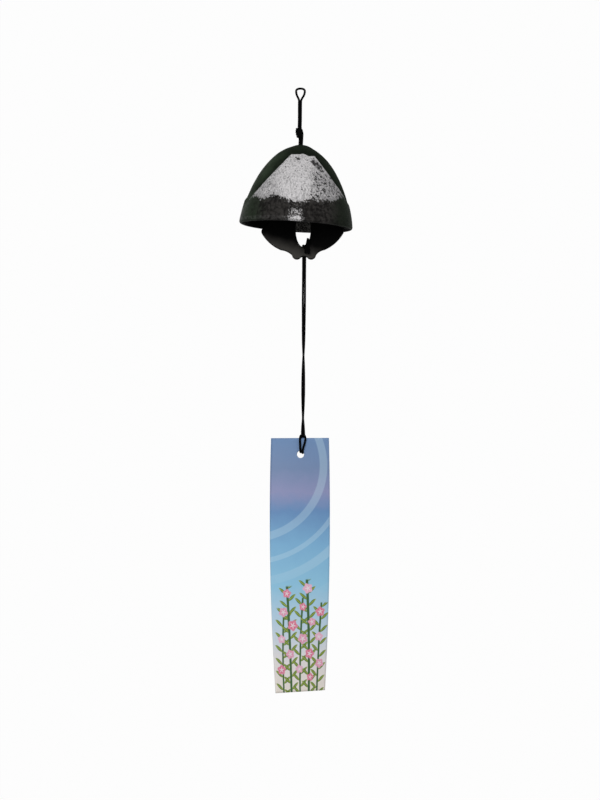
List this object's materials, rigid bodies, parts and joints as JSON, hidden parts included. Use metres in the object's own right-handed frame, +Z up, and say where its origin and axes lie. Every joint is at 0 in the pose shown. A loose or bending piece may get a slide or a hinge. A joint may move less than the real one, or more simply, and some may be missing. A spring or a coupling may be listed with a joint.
{
  "type": "wind bell",
  "caption": "Hanging cast-iron wind bell: a domed bell with a mountain raised on its front, a flat clapper on a cord and a printed paper strip that catches the wind.",
  "frame": {"origin": "the point inside the top of the hanging loop where a hook bears", "axes": "+Z up along the hanging line, +X to the viewer's right, -Y towards the viewer and the mountain side of the bell"},
  "size_m": [0.0681, 0.0682, 0.3627],
  "materials": {
    "bell_iron": "dark green-black patina, silver dry-brushed mountain",
    "clapper_iron": "near-black satin",
    "cord": "black laid cord, matt",
    "paper": "stiff printed card, satin"
  },
  "bodies": {
    "hanger": {"hanging_loop": "cord"},
    "knot": {"crown_knot": "cord"},
    "neck": {"neck_cord": "cord", "stop_knot": "cord"},
    "bell": {"bell": "bell_iron"},
    "clapper_line": {"clapper_cord": "cord"},
    "clapper": {"clapper": "clapper_iron", "head_hitch": "cord", "bridge_knot": "cord"},
    "tail": {"tail_cord": "cord"},
    "lead": {"strip_lead": "cord"},
    "strip": {"strip_hitch": "cord", "paper_strip": "paper"}
  },
  "joints": [
    {"name": "bell_turn", "type": "hinge", "parent": "hanger", "child": "knot", "pos_m": [0, 0, -0.02265], "axis": [0, 0, 1], "range_deg": [-180, 180]},
    {"name": "bell_swing_side", "type": "hinge", "parent": "knot", "child": "neck", "pos_m": [0, 0, -0.03095], "axis": [0, 1, 0], "range_deg": [-25, 25]},
    {"name": "bell_swing_front", "type": "hinge", "parent": "neck", "child": "bell", "pos_m": [0, 0, -0.03635], "axis": [1, 0, 0], "range_deg": [-15, 15]},
    {"name": "clapper_swing", "type": "hinge", "parent": "bell", "child": "clapper_line", "pos_m": [0, 0, -0.04345], "axis": [0, 1, 0], "range_deg": [-0.5, 10]},
    {"name": "clapper_tip", "type": "hinge", "parent": "clapper_line", "child": "clapper", "pos_m": [0.0012, 0, -0.06455], "axis": [1, 0, 0], "range_deg": [-10, 10]},
    {"name": "tail_swing", "type": "hinge", "parent": "clapper", "child": "tail", "pos_m": [0.0022, 0, -0.10335], "axis": [0, 1, 0], "range_deg": [-30, 30]},
    {"name": "strip_turn", "type": "hinge", "parent": "tail", "child": "lead", "pos_m": [0.0015, 0, -0.19795], "axis": [0, 0, 1], "range_deg": [-180, 180]},
    {"name": "strip_flap", "type": "hinge", "parent": "lead", "child": "strip", "pos_m": [0.0015, 0, -0.20745], "axis": [1, 0, 0], "range_deg": [-50, 50]}
  ]
}
